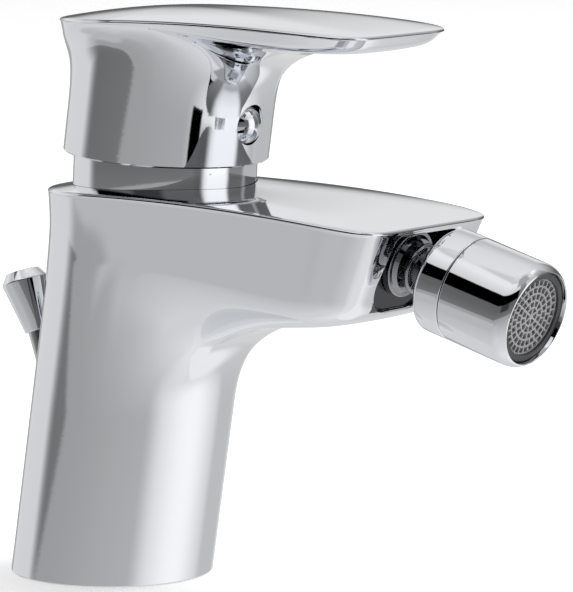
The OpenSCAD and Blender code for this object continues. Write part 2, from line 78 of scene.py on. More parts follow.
# Grub screw's tunnel and its cover, in front of the lever
PLUG_R, PLUG_BED = 4.6, 4.0
SCREW_R, SCREW_UP, SCREW_GAP = 2.5, 8.1, 0.1
PLUG_X = LEVER_X + LEVER_R + SCREW_UP * LEVER_SLOPE

# Ball joint with its stud and recess, and the nozzle
BALL = np.array([COLUMN_TOP_X + 87.0, 0.0, DECK_Z - 17.2])
BALL_R = 8.0
STUD_LEN, NECK_R, STUD_HOLE_R, STUD_HOLE_LEN = 17.0, 3.8, 6.0, 11.0
RECESS_UP, RECESS_DOWN, RECESS_HALF = 8.2, 11.0, 11.5
NOZZLE_R, NOZZLE_OUT, NOZZLE_IN = 12.2, 20.5, 5.7
NOZZLE_PITCH = math.radians(15.5)

# Drillings of the body: hose ports, fixing hole, seal groove, and the waterway from chamber to stud
PORT_X, PORT_Y, PORT_R, PORT_DEPTH = 3.0, 11.0, 4.5, 14.0
FIXING_X, FIXING_R, FIXING_DEPTH = 15.0, 3.4, 16.0
GROOVE_IN, GROOVE_OUT, GROOVE_DEPTH = 20.2, 21.8, 1.8
WATERWAY_R, WATERWAY_UP = 4.0, 4.6
WATERWAY_FROM, WATERWAY_TO = SEAT[0] + 14, BALL[0] - STUD_LEN - 7

# Pull rod, its guide and its knob
ROD_TILT, ROD_R, ROD_FOOT_X, ROD_GAP = math.radians(19.6), 2.5, -2.9, 0.3
ROD_HOLE_FROM, ROD_HOLE_TO = -2.0, 60.0
GUIDE_FROM, GUIDE_TO, GUIDE_WALL = 28.0, 70.0, 1.5
KNOB_FROM, KNOB_LEN, KNOB_R = 58.5, 14.8, 5.6

# The two leaf-topped skins. Three numbers in a row are the values in front, at the side and behind.
# foot is where the leaning axis starts (x, z), and tilt is the slant of the foot's plane.
# reach, back and half size the top's outline, which square makes boxy and taper narrows in front.
# crest, fall and crown give the top's highest place, its drop to the front and its swell.
# start, neck, lip and wall are the heights through which the side flows out from the foot to the edge.
BODY_FORM = dict(
    foot=(0.0, 0.0), radius=COLUMN_R, slope=COLUMN_SLOPE, tilt=0.0,
    reach=79.5, back=25.8, half=26.39, square=9.0, taper=0.0, ease=(2.0, 1.5),
    crest=(COLUMN_TOP_X + 10, DECK_Z), fall=3.9, crown=(0.8, 2.4, 1.5),
    start=(DECK_Z - 47, DECK_Z - 53, DECK_Z - 48), start_turn=1.0,
    neck=(DECK_Z - 26, DECK_Z - 34, DECK_Z - 13),
    lip=(DECK_Z - 29.5, DECK_Z - 19, DECK_Z - 13),
    wall=(DECK_Z - 21, DECK_Z - 16, DECK_Z - 5),
    setback=(8.0, 0.8, 0.5), flare=(0.0, 0.8, 1.4), flare_z=DECK_Z - 15,
    pull_neck=(2.2, 1.0, 1.0), pull_lip=(3.0, 1.0, 1.0), pull_ease=4.0,
    bunch=math.radians(34), edge_r=0.8)
LEVER_FORM = dict(
    foot=(LEVER_X, LEVER_Z), radius=LEVER_R, slope=LEVER_SLOPE, tilt=SEAT_TILT,
    reach=64.5, back=29.4, half=26.2, square=6.0, taper=0.13, ease=(3.0, 0.0),
    crest=(LEVER_TOP_X + 16, LEVER_TOP_Z), fall=1.8, crown=(1.87, 1.87, 1.87),
    start=(LEVER_Z + 10, LEVER_Z + 25, LEVER_Z + 12), start_turn=2.2,
    neck=(LEVER_TOP_Z - 4.6, LEVER_TOP_Z - 2.2, LEVER_TOP_Z - 14),
    lip=(LEVER_TOP_Z - 7.4, LEVER_TOP_Z - 1.8, LEVER_TOP_Z - 14),
    wall=(LEVER_TOP_Z - 4.3, LEVER_TOP_Z - 1.3, LEVER_TOP_Z - 6),
    setback=(5.0, 0.5, 0.5), flare=(0.0, 0.5, 2.0), flare_z=LEVER_TOP_Z - 13,
    pull_neck=(2.8, 1.0, 1.0), pull_lip=(4.0, 1.0, 1.0), pull_ease=1.0,
    bunch=math.radians(31), edge_r=0.8)
LEVELS = ("start", "neck", "lip", "wall")


# Meshes from grids

def put_mesh(name, verts, faces):
    """A mesh object from vertices in millimetres and faces, smooth but for its sharp edges."""
    mesh = bpy.data.meshes.new(name)
    mesh.from_pydata((np.asarray(verts) * MM).tolist(), [], faces)
    mesh.update()
    smooth(mesh)
    obj = bpy.data.objects.new(name, mesh)
    bpy.context.scene.collection.objects.link(obj)
    return obj


def smooth(mesh):
    """Shade every face smooth and mark the edges that bend more than SHARP as sharp."""
    mesh.polygons.foreach_set("use_smooth", np.ones(len(mesh.polygons), bool))
    mesh.set_sharp_from_angle(angle=SHARP)
    mesh.update()


def tube_faces(rows, cols, wrap_rows=False):
    """Quads of a grid whose columns close on themselves, and whose rows do too when wrap_rows is set."""
    k, i = np.meshgrid(np.arange(rows if wrap_rows else rows - 1), np.arange(cols), indexing="ij")
    k2, i2 = (k + 1) % rows, (i + 1) % cols
    return np.stack([k * cols + i, k * cols + i2, k2 * cols + i2, k2 * cols + i], -1).reshape(-1, 4).tolist()


def capped(grid):
    """Vertices and faces of a tube grid (rows, columns, xyz), each end closed by a point at its middle."""
    rows, cols = grid.shape[:2]
    verts = np.concatenate([grid.reshape(-1, 3), grid[:1].mean(1), grid[-1:].mean(1)])
    i = np.arange(cols)
    j, top = (i + 1) % cols, (rows - 1) * cols
    low = np.stack([j, i, np.full(cols, rows * cols)], -1).tolist()
    high = np.stack([top + i, top + j, np.full(cols, rows * cols + 1)], -1).tolist()
    return verts, tube_faces(rows, cols) + low + high


def frame_of(origin, turn):
    """Origin and axes of a frame turned by turn about +Y: its third axis is (sin turn, 0, cos turn)."""
    c, s = math.cos(turn), math.sin(turn)
    return np.array(origin, float), np.array([[c, 0, -s], [0, 1, 0], [s, 0, c]])


ON_SEAT = frame_of(SEAT, SEAT_TILT)
ON_BALL = frame_of(BALL, math.pi / 2 + NOZZLE_PITCH)
ON_ROD = frame_of((ROD_FOOT_X, 0, 0), -ROD_TILT)
ON_SCREW = frame_of((PLUG_X, 0, LEVER_Z + SCREW_UP), math.pi / 2)
IN_WATERWAY = frame_of((WATERWAY_FROM, 0, BALL[2] + WATERWAY_UP), math.pi / 2)


def to_part(place, local):
    """Points of a local frame in the part's frame."""
    return place[0] + np.asarray(local) @ place[1]


def to_local(place, points):
    """Points of the part's frame in a local frame."""
    return (np.asarray(points) - place[0]) @ place[1].T


def rounded(corners, steps=7):
    """Closed outline through corners (a, b, radius): each corner is an arc tangent to its two sides."""
    p = np.array([c[:2] for c in corners], float)
    r = np.array([c[2] for c in corners], float)
    u, w = np.roll(p, 1, 0) - p, np.roll(p, -1, 0) - p
    u, w = (d / np.linalg.norm(d, axis=1, keepdims=True) for d in (u, w))
    half = np.arccos(np.clip((u * w).sum(1), -1, 1)) / 2
    bisector = (u + w) / np.maximum(np.linalg.norm(u + w, axis=1, keepdims=True), TINY)
    centre = p + bisector * (r / np.sin(half))[:, None]
    first = centre - (p + u * (r / np.tan(half))[:, None])
    last = centre - (p + w * (r / np.tan(half))[:, None])
    sweep = (math.pi - 2 * half)[:, None, None]
    t = np.linspace(0, 1, steps)[None, :, None]
    spread = np.sin((1 - t) * sweep) * first[:, None] + np.sin(t * sweep) * last[:, None]
    bend = centre[:, None] - spread / np.maximum(np.sin(sweep), TINY)
    points = np.where(r[:, None, None] > 0, bend, p[:, None]).reshape(-1, 2)
    apart = 1e-5
    return points[np.linalg.norm(points - np.roll(points, 1, 0), axis=1) > apart]


def arc(cx, cz, r, start_deg, end_deg, steps):
    """Points of a circular arc in a profile plane."""
    a = np.radians(np.linspace(start_deg, end_deg, steps))
    return np.stack([cx + r * np.cos(a), cz + r * np.sin(a)], -1).tolist()


def swept(line, cols):
    """Profile points (radius, height) swept once round the third axis, as a grid of rows and columns."""
    line = np.asarray(line, float)
    a = np.linspace(0, TAU, cols, endpoint=False)
    return np.stack([line[:, :1] * np.cos(a), line[:, :1] * np.sin(a), np.repeat(line[:, 1:], cols, 1)], -1)


def turned(name, place, line, cols=160):
    """A turned ring: a closed outline of (radius, height), counter-clockwise, swept round the third axis."""
    verts = to_part(place, swept(line, cols).reshape(-1, 3))
    return put_mesh(name, verts, tube_faces(len(line), cols, wrap_rows=True))


def turned_solid(name, place, line, cols):
    """A turned solid: an open profile of (radius, height) swept round the third axis, closed on the axis."""
    verts, faces = capped(swept(line, cols))
    return put_mesh(name, to_part(place, verts), faces)


def drill(place, low, high, r, cols=64):
    """A round cutter along the frame's third axis."""
    return turned_solid("cutter", place, [(r, low), (r, high)], cols)


def cut(obj, *tools):
    """Take each tool's closed mesh out of obj with an exact boolean, and drop the tools."""
    for tool in tools:
        mod = obj.modifiers.new("cut", "BOOLEAN")
        mod.operation, mod.solver, mod.object = "DIFFERENCE", "EXACT", tool
        graph = bpy.context.evaluated_depsgraph_get()
        mesh = bpy.data.meshes.new_from_object(obj.evaluated_get(graph))
        obj.modifiers.clear()
        old, obj.data = obj.data, mesh
        bpy.data.meshes.remove(old)
        bpy.data.meshes.remove(tool.data)
    obj.data.name = obj.name
    smooth(obj.data)
    return obj


# Leaf-topped skins

def by_side(c, values, power=1.0, share=1.0):
    """Value for a direction's cosine, eased from front over side to rear; share scales the front's part."""
    front, side, rear = values
    ahead, behind = np.clip(c, 0, 1) ** power, np.clip(-c, 0, 1) ** power
    return side + (front - side) * ahead * share + (rear - side) * behind


def leaf_r(a, form):
    """Radius of the leaf outline: a superellipse in front that narrows with the taper, an ellipse behind."""
    c, across = np.cos(a), np.abs(np.sin(a)) / form["half"]
    ahead, power = np.clip(c, TINY, 1), form["square"]
    narrowed = across * (1 + form["taper"] * ahead)
    front = ((ahead / form["reach"]) ** power + narrowed ** power) ** (-1 / power)
    rear = ((c / form["back"]) ** 2 + across ** 2) ** -0.5
    return np.where(c >= 0, front, rear)


class Leaf:
    """A round leaning foot that flows out into a leaf-shaped top, as rings of points in given directions."""

    def __init__(self, form, cols):
        """Directions, closer together in front, with the outline, the edge's height and the levels."""
        self.form = form
        t = np.linspace(-math.pi, math.pi, cols, endpoint=False)
        a = t - form["bunch"] * np.sin(t)
        self.cos, self.sin = np.cos(a), np.sin(a)
        self.outline = leaf_r(a, form)
        self.rim = self.outline - form["edge_r"]
        self.axis_x = form["foot"][0] + form["slope"] * (form["crest"][1] - form["foot"][1])
        self.arch = form["fall"] / (self.axis_x + form["reach"] - form["crest"][0]) ** 2
        self.edge = self.top_z(self.axis_x + self.outline * self.cos)
        power, reach_power = form["ease"]
        share = np.clip(self.outline * self.cos / form["reach"], 0, 1) ** reach_power
        facing = dict.fromkeys(LEVELS, self.cos)
        facing["start"] = np.clip(form["start_turn"] * self.cos, -1, 1)
        self.levels = {k: by_side(facing[k], form[k], power, share) for k in LEVELS}

    def top_z(self, x):
        """Height of the arched top at x, without its swell: a parabola that falls from the crest."""
        return self.form["crest"][1] - self.arch * (x - self.form["crest"][0]) ** 2

    def ring(self, r, z):
        """Points at radius r and height z about the leaning axis."""
        x = self.form["foot"][0] + self.form["slope"] * (z - self.form["foot"][1]) + r * self.cos
        return np.stack([x, r * self.sin, np.broadcast_to(z, x.shape)], -1)

    def wall_r(self, z):
        """Radius of the wall: the outline, set back linearly and flared by a parabola below the edge."""
        f = self.form
        below = (self.edge - z) / (self.edge - self.levels["lip"])
        t = np.clip((z - f["flare_z"]) / (self.edge - f["flare_z"]), 0, 1)
        inset = by_side(self.cos, f["setback"], 2) * below
        return self.outline - inset - by_side(self.cos, f["flare"]) * (1 - t * t)

    def foot_ring(self, r, up=0.0):
        """Ring of radius r on the tilted foot plane, up along the height."""
        return self.ring(r, self.form["foot"][1] + up - math.tan(self.form["tilt"]) * r * self.cos)

    def flow_ring(self, t):
        """Ring at t on the rational cubic that flows from the start, by the neck and the lip, to the wall."""
        f, lv = self.form, self.levels
        w1, w2 = (by_side(self.cos, f[k], f["pull_ease"]) for k in ("pull_neck", "pull_lip"))
        b0, b1, b2, b3 = (1 - t) ** 3, 3 * (1 - t) ** 2 * t * w1, 3 * (1 - t) * t * t * w2, t ** 3
        total = b0 + b1 + b2 + b3
        r = (f["radius"] * (b0 + b1) + self.wall_r(lv["lip"]) * b2 + self.wall_r(lv["wall"]) * b3) / total
        return self.ring(r, (lv["start"] * b0 + lv["neck"] * b1 + lv["lip"] * b2 + lv["wall"] * b3) / total)

    def side_rings(self, rise_rows, flow_rows, wall_rows, edge_rows):
        """Rings from the foot to the top: a straight rise, the flow outwards, the wall and a round edge."""
        f, start, wall = self.form, self.levels["start"], self.levels["wall"]
        foot = f["foot"][1] - math.tan(f["tilt"]) * f["radius"] * self.cos
        rise = np.linspace(0, 1, rise_rows, endpoint=False)[1:]
        rings = [self.ring(f["radius"], foot + (start - foot) * t) for t in rise]
        rings += [self.flow_ring(t) for t in np.linspace(0, 1, flow_rows)]
        edge_foot = self.edge - f["edge_r"]
        heights = [wall + (edge_foot - wall) * t for t in np.linspace(0, 1, wall_rows)[1:]]
        rings += [self.ring(self.wall_r(z), z) for z in heights]
        for turn in np.linspace(0, math.pi / 2, edge_rows)[1:]:
            inwards, downwards = f["edge_r"] * (1 - math.cos(turn)), f["edge_r"] * (1 - math.sin(turn))
            rings.append(self.ring(self.outline - inwards, self.edge - downwards))
        return rings

    def top_ring(self, r):
        """Ring of radius r on the top: its arch, and a swell that falls as a parabola to the rim."""
        swell = by_side(self.cos, self.form["crown"], 2) * (1 - (r / self.rim) ** 2)
        return self.ring(r, self.top_z(self.axis_x + r * self.cos) + swell)

    def top_rings(self, inner, rows):
        """Rings across the top from its edge in to the radius inner, closer together at the edge."""
        crowding = 1.25
        steps = np.linspace(0, 1, rows)[1:] ** crowding
        return [self.top_ring(self.rim + (inner - self.rim) * t) for t in steps]


def seat_rings(points, steps):
    """Rings about the seat's axis, in the directions of the points, at each (radius, height) of the steps."""
    local = to_local(ON_SEAT, points)
    turn = local[:, :2] / np.hypot(local[:, 0], local[:, 1])[:, None]
    return [to_part(ON_SEAT, np.column_stack([turn * r, np.broadcast_to(h, len(turn))])) for r, h in steps]


def recess_cutter(leaf):
    """The ball joint's recess: a D outline, straight inside and flared by a quarter round to the front wall.

    The outline lies in the ball's frame (down, across). The round grows from under the deck to the sides and
    the bottom. Its height along the axis follows the front wall's plane, which two heights of the wall give.
    """
    soft_top, soft_low, top_corner, low_corner = 1.2, 2.2, 1.6, 8.0
    line = rounded([(-RECESS_UP, RECESS_HALF, top_corner), (-RECESS_UP, -RECESS_HALF, top_corner),
                    (RECESS_DOWN, -RECESS_HALF, low_corner), (RECESS_DOWN, RECESS_HALF, low_corner)], 24)
    low, high = BALL[2] - 4, BALL[2] + 10
    front = np.argmax(leaf.cos)
    front_low, front_high = (leaf.form["slope"] * z + leaf.wall_r(z)[front] for z in (low, high))
    point = np.array([front_low, 0.0, low])
    normal = np.array([high - low, 0.0, front_low - front_high])
    normal /= np.linalg.norm(normal)
    along_line = np.roll(line, -1, 0) - np.roll(line, 1, 0)
    out = np.stack([along_line[:, 1], -along_line[:, 0]], -1)
    out /= np.linalg.norm(out, axis=1, keepdims=True)
    soft = soft_top + (soft_low - soft_top) * np.clip((line[:, 0] + RECESS_UP) / RECESS_UP, 0, 1)
    quarter = [(1 - math.sin(t), 1 - math.cos(t)) for t in np.linspace(0, math.pi / 2, 11)]
    past_wall = (-2.0, 1.02)
    origin, axes = ON_BALL
    rings = [np.column_stack([line, np.full(len(line), -STUD_LEN)])]
    for depth, grow in quarter + [past_wall]:
        plan = line + out * (soft * grow)[:, None]
        base = origin + plan @ axes[:2]
        along = ((point - base) @ normal - soft * depth) / (axes[2] @ normal)
        rings.append(np.column_stack([plan, along]))
    verts, faces = capped(np.stack(rings))
    return put_mesh("cutter", to_part(ON_BALL, verts), faces)


def body_drillings():
    """Cutters for the stud's hole, waterway, hose ports, fixing hole, seal groove, rod and rod guide."""
    upright, below, overlap = frame_of((0, 0, 0), 0), -1.0, 0.5
    tools = [drill(ON_BALL, -STUD_LEN - STUD_HOLE_LEN, -STUD_LEN + overlap, STUD_HOLE_R)]
    tools.append(drill(IN_WATERWAY, 0.0, WATERWAY_TO - WATERWAY_FROM, WATERWAY_R, 48))
    for port_y in (-PORT_Y, PORT_Y):
        tools.append(drill(frame_of((PORT_X, port_y, 0), 0), below, PORT_DEPTH, PORT_R))
    tools.append(drill(frame_of((FIXING_X, 0, 0), 0), below, FIXING_DEPTH, FIXING_R))
    tools.append(turned("cutter", upright, [
        (GROOVE_IN, below), (GROOVE_OUT, below), (GROOVE_OUT, GROOVE_DEPTH), (GROOVE_IN, GROOVE_DEPTH)]))
    tools.append(drill(ON_ROD, ROD_HOLE_FROM, ROD_HOLE_TO, ROD_R + ROD_GAP))
    tools.append(drill(ON_ROD, GUIDE_FROM, GUIDE_TO, ROD_R + GUIDE_WALL + RUN_GAP))
    return tools


def body_shell():
    """Column, spout and deck as one leaf skin, with a stepped chamber sunk into the deck and drilled."""
    leaf = Leaf(BODY_FORM, 360)
    foot_radii, foot_edge = (4.0, 12.0, COLUMN_R - 0.5), 0.4
    foot = [leaf.foot_ring(r) for r in foot_radii] + [leaf.ring(COLUMN_R, foot_edge)]
    side = leaf.side_rings(rise_rows=10, flow_rows=64, wall_rows=22, edge_rows=8)
    seat_r, nut_r, chamber_r, eye_r = COLLAR_R + SEAT_GAP, NUT_R + RUN_GAP, CARTRIDGE_R + CARTRIDGE_GAP, 6.0
    shift = SEAT[0] - leaf.axis_x
    inner = shift * leaf.cos + np.sqrt(seat_r ** 2 - (shift * leaf.sin) ** 2)
    deck = leaf.top_rings(inner, 22)
    chamber = seat_rings(deck[-1], [
        (seat_r, -SEAT_SINK), (nut_r, -SEAT_SINK), (nut_r, -NUT_BED),
        (chamber_r, -NUT_BED), (chamber_r, -CHAMBER_DEPTH), (eye_r, -CHAMBER_DEPTH)])
    verts, faces = capped(np.stack(foot + side + deck + chamber))
    return cut(put_mesh("body_shell", verts, faces), recess_cutter(leaf), *body_drillings())


def socket_cutter():
    """The square socket for the spindle, from below the boss to above the spindle's end."""
    half, low, high = SOCKET / 2, LEVER_GAP - 1, SPINDLE_TOP + 0.1
    corners = np.array([[-half, -half], [half, -half], [half, half], [-half, half]])
    ends = [np.column_stack([corners, np.full(4, z)]) for z in (low, high)]
    verts, faces = capped(np.stack(ends))
    return put_mesh("cutter", to_part(ON_SEAT, verts), faces)


def lever_shell():
    """Lever as one leaf skin round a hollow skirt with a socket boss, its screw tunnel and cover seat cut."""
    leaf = Leaf(LEVER_FORM, 320)
    edge, skirt_edge, boss_eye, top_eye, tunnel_out = 0.35, 0.3, BOSS_R - 5, 3.0, 4.0
    rim = [leaf.foot_ring(LEVER_R - edge), leaf.foot_ring(LEVER_R, edge)]
    side = leaf.side_rings(rise_rows=5, flow_rows=56, wall_rows=14, edge_rows=8)
    top = leaf.top_rings(top_eye, 30)
    boss_z, roof_z = LEVER_GAP + BOSS_GAP, LEVER_GAP + SKIRT_DEPTH
    skirt = seat_rings(rim[0], [
        (boss_eye, boss_z), (BOSS_R, boss_z), (BOSS_R, roof_z), (SKIRT_TOP_R, roof_z),
        (SKIRT_R, LEVER_GAP + skirt_edge), (SKIRT_R + skirt_edge, to_local(ON_SEAT, rim[0])[:, 2])])
    verts, faces = capped(np.stack(skirt + rim + side + top))
    skin = put_mesh("lever_shell", verts, faces)
    tunnel = drill(ON_SCREW, -LEVER_R, tunnel_out, SCREW_R + SCREW_GAP)
    cover_seat = drill(ON_SCREW, -PLUG_BED, LEVER_R, PLUG_R + SCREW_GAP, 96)
    return cut(skin, socket_cutter(), tunnel, cover_seat)


# Turned pieces

def collar_sleeve():
    """Collar ring: a plain sleeve with a broken top edge and an inward lip."""
    low, lip, mouth, bore = -SEAT_SINK, COLLAR_H - 1.2, 15.7, NUT_R + 0.5
    return turned("collar_sleeve", ON_SEAT, rounded([
        (COLLAR_R, low, 0.2), (COLLAR_R, COLLAR_H, 0.5), (mouth, COLLAR_H, 0.3), (mouth, lip, 0.1),
        (bore, lip, 0.2), (bore, low, 0.1)]), 192)


def stud_skin():
    """Ball stud: shank, flange, coned shoulder, bead and neck turned in one with the ball, bored through."""
    bore, cup, flange, shoulder, bead = 2.5, 4.0, 2.0, 0.9, 0.8
    foot_edge, face_edge, fillet, cone_foot, cone_top = 0.3, 0.5, 0.4, BALL_R - 1, BALL_R - 1.7
    shank, tail, foot = STUD_HOLE_R - RUN_GAP, -STUD_LEN - STUD_HOLE_LEN + 1, -STUD_LEN + 0.1
    face, bead_z, cup_z = foot + flange, -STUD_LEN + flange + 3, BALL_R - 2
    pole, root = (math.degrees(math.asin(r / BALL_R)) for r in (cup, NECK_R))
    line = [(bore, tail), (shank, tail), (shank, foot)]
    line += arc(BALL_R - foot_edge, foot + foot_edge, foot_edge, -90, 0, 4)
    line += arc(BALL_R - face_edge, face - face_edge, face_edge, 0, 90, 6)
    line += [(cone_foot, face), (cone_top, face + shoulder), (NECK_R + fillet, face + shoulder)]
    line += arc(NECK_R + fillet, face + shoulder + fillet, fillet, -90, -180, 4)
    line += [(NECK_R, bead_z - bead)]
    line += arc(STUD_HOLE_R - bead, bead_z, bead, -90, 90, 13)
    line += [(NECK_R, bead_z + bead)]
    line += arc(0, 0, BALL_R, -90 + root, 90 - pole, 40)
    line += [(cup, cup_z), (bore, cup_z)]
    return turned("stud_skin", ON_BALL, line)


def joint_collar():
    """Swivel collar: barrel with a rounded rear rim, spherical cup for the liner and a spigot in front."""
    cup, rear, seam, spigot, spigot_out, way = 9.3, 4.0, 1.9, 10.54, 7.0, 6.0
    rear_edge, seam_edge, lip, chamfer = 1.8, 0.3, 0.7, 0.2
    mouth = math.sqrt(cup * cup - rear * rear)
    cup_end, cup_start = math.degrees(math.atan2(-rear, mouth)), math.degrees(math.acos(way / cup))
    line = [(mouth + lip, -NOZZLE_IN + chamfer), (mouth + lip + chamfer, -NOZZLE_IN)]
    line += arc(NOZZLE_R - rear_edge, -NOZZLE_IN + rear_edge, rear_edge, -90, 0, 10)
    line += arc(NOZZLE_R - seam_edge, seam - seam_edge, seam_edge, 0, 90, 5)
    line += [(spigot, seam), (spigot, spigot_out), (way, spigot_out)]
    line += arc(0, 0, cup, cup_start, cup_end, 24)
    return turned("joint_collar", ON_BALL, line)


def nozzle_barrel():
    """Aerator housing: a sleeve whose front end draws in on an arc to a thin mouth."""
    foot, bore, front_len, front_r = 2.1, 10.6, 3.2, 4.6
    foot_edge, chamfer, mouth_wall = 0.3, 0.2, 0.15
    sweep = math.degrees(math.asin(front_len / front_r))
    line = [(bore, foot + chamfer), (bore + chamfer, foot)]
    line += arc(NOZZLE_R - foot_edge, foot + foot_edge, foot_edge, -90, 0, 5)
    line += arc(NOZZLE_R - front_r, NOZZLE_OUT - front_len, front_r, 0, sweep - 1, 20)
    line += [(bore + mouth_wall, NOZZLE_OUT), (bore, NOZZLE_OUT - chamfer)]
    return turned("nozzle_barrel", ON_BALL, line)


def gap_shade_ring():
    """A black rubber ring in the gap between the insert and the barrel's mouth, a little below both: painted
    shade that darkens the gap.
    """
    low, high, inner, outer = 15.0, NOZZLE_OUT - 1.3, 10.27, 10.58
    return turned("gap_shade_ring", ON_BALL, rounded([
        (inner, low, 0), (outer, low, 0), (outer, high, 0.1), (inner, high, 0.1)]))


def cover_dome():
    """Screw cover: a short plug with a domed face, which is an arc over the plug's rim."""
    foot, rim, dome, chamfer = -PLUG_BED + 0.1, 2.4, 3.2, 0.2
    dome_r = (PLUG_R ** 2 + dome ** 2) / (2 * dome)
    edge = math.degrees(math.asin(PLUG_R / dome_r))
    line = [(PLUG_R - chamfer, foot), (PLUG_R, foot + chamfer), (PLUG_R, foot + rim)]
    line += arc(0, foot + rim + dome - dome_r, dome_r, 90 - edge + 1, 89, 18)
    return turned_solid("cover_dome", ON_SCREW, line, 96)


def knob_skin():
    """Pull knob: a flaring cone with a softened shoulder and a chamfered head, hollow under the rod."""
    hole, core, neck, head = ROD_R + 0.02, 0.02, KNOB_R - 2.4, KNOB_R - 1.6
    low, top = KNOB_FROM, KNOB_FROM + KNOB_LEN
    hole_top, shoulder = low + 5.1, top - 2.4
    return turned("knob_skin", ON_ROD, rounded([
        (hole, low, 0.1), (neck, low, 0.25), (KNOB_R, shoulder, 0.5), (head, top, 0.4),
        (core, top, 0), (core, hole_top, 0), (hole, hole_top, 0.1)]), 96)


def rod_skin():
    """Pull rod: a drawn round rod with broken ends."""
    low, high, chamfer = 2.0, KNOB_FROM + 4, 0.4
    line = [(ROD_R - chamfer, low), (ROD_R, low + chamfer), (ROD_R, high - chamfer), (ROD_R - chamfer, high)]
    return turned_solid("rod_skin", ON_ROD, line, 64)


# Materials

def new_group(name, ins, outs):
    """An empty shader node group with named float inputs and their defaults, and named outputs."""
    group = bpy.data.node_groups.new(name, "ShaderNodeTree")
    for label, value in ins.items():
        group.interface.new_socket(label, in_out="INPUT", socket_type="NodeSocketFloat").default_value = value
    for label in outs:
        group.interface.new_socket(label, in_out="OUTPUT", socket_type="NodeSocketFloat")
    return group, group.nodes.new("NodeGroupInput").outputs, group.nodes.new("NodeGroupOutput").inputs


def noise(tree, coord, scale, detail, rough):
    """The value of a noise texture at a coordinate socket, with its scale from another socket."""
    tex = tree.nodes.new("ShaderNodeTexNoise")
    tex.inputs["Detail"].default_value, tex.inputs["Roughness"].default_value = detail, rough
    tree.links.new(coord, tex.inputs["Vector"])
    tree.links.new(scale, tex.inputs["Scale"])
    return tex.outputs["Fac"]


def gloss_between(tree, value, given):
    """Roughness between the group's two gloss inputs, by the middle stretch of a noise value."""
    node = tree.nodes.new("ShaderNodeMapRange")
    node.inputs["From Min"].default_value, node.inputs["From Max"].default_value = 0.3, 0.7
    tree.links.new(value, node.inputs["Value"])
    tree.links.new(given["Gloss Low"], node.inputs["To Min"])
    tree.links.new(given["Gloss High"], node.inputs["To Max"])
    return node.outputs["Result"]


def film_group():
    """Handled plating: broad smears change the gloss, and a faint orange peel gives the height."""
    group, given, gives = new_group(
        "plating_film",
        {"Smear Scale": 60.0, "Peel Scale": 900.0, "Gloss Low": 0.03, "Gloss High": 0.08},
        ["Roughness", "Peel"])
    coord = group.nodes.new("ShaderNodeTexCoord").outputs["Object"]
    smear = noise(group, coord, given["Smear Scale"], detail=4.0, rough=0.6)
    peel = noise(group, coord, given["Peel Scale"], detail=2.0, rough=0.5)
    group.links.new(gloss_between(group, smear, given), gives["Roughness"])
    group.links.new(peel, gives["Peel"])
    return group


def grain_group():
    """Moulded or drawn surface: fine noise for the height, and a slow cloud for the colour and gloss."""
    group, given, gives = new_group(
        "fine_grain",
        {"Grain Scale": 1500.0, "Cloud Scale": 120.0, "Gloss Low": 0.4, "Gloss High": 0.55},
        ["Grain", "Cloud", "Roughness"])
    coord = group.nodes.new("ShaderNodeTexCoord").outputs["Object"]
    grain = noise(group, coord, given["Grain Scale"], detail=5.0, rough=0.7)
    cloud = noise(group, coord, given["Cloud Scale"], detail=3.0, rough=0.5)
    group.links.new(grain, gives["Grain"])
    group.links.new(cloud, gives["Cloud"])
    group.links.new(gloss_between(group, cloud, given), gives["Roughness"])
    return group


FILM, GRAIN = film_group(), grain_group()


def material(name, group, settings, metallic=0.0, coat=0.0):
    """A material with a Principled shader and one placed effect group, which gives its roughness."""
    mat = bpy.data.materials.new(name)
    mat.use_nodes = True
    tree = mat.node_tree
    shader = tree.nodes["Principled BSDF"]
    shader.inputs["Metallic"].default_value = metallic
    shader.inputs["Coat Weight"].default_value = coat
    effect = tree.nodes.new("ShaderNodeGroup")
    effect.node_tree = group
    for key, value in settings.items():
        effect.inputs[key].default_value = value
    tree.links.new(effect.outputs["Roughness"], shader.inputs["Roughness"])
    return mat, tree, shader, effect


def bumped(tree, shader, height, strength, distance):
    """Feed a height into the shader's normal through a Bump node."""
    bump = tree.nodes.new("ShaderNodeBump")
    bump.inputs["Strength"].default_value, bump.inputs["Distance"].default_value = strength, distance
    tree.links.new(height, bump.inputs["Height"])
    tree.links.new(bump.outputs["Normal"], shader.inputs["Normal"])


def plated(name, colour, gloss):
    """Bright plating over a polished casting."""
    settings = {"Gloss Low": gloss[0], "Gloss High": gloss[1]}
    mat, tree, shader, film = material(name, FILM, settings, metallic=1.0)
    shader.inputs["Base Color"].default_value = (*colour, 1)
    bumped(tree, shader, film.outputs["Peel"], strength=0.012, distance=0.0002)
    return mat


def grained(name, dark, light, gloss, scale, strength, metallic=0.0, coat=0.0):
    """Grained plastic, rubber, ceramic or raw metal: the cloud moves the colour between two tones."""
    settings = {"Grain Scale": scale, "Gloss Low": gloss[0], "Gloss High": gloss[1]}
    mat, tree, shader, grain = material(name, GRAIN, settings, metallic, coat)
    ramp = tree.nodes.new("ShaderNodeValToRGB")
    for stop, position, tone in zip(ramp.color_ramp.elements, (0.3, 0.7), (dark, light)):
        stop.position = position
        stop.color = (*tone, 1)
    tree.links.new(grain.outputs["Cloud"], ramp.inputs["Fac"])
    tree.links.new(ramp.outputs["Color"], shader.inputs["Base Color"])
    bumped(tree, shader, grain.outputs["Grain"], strength, distance=0.0003)
    return mat


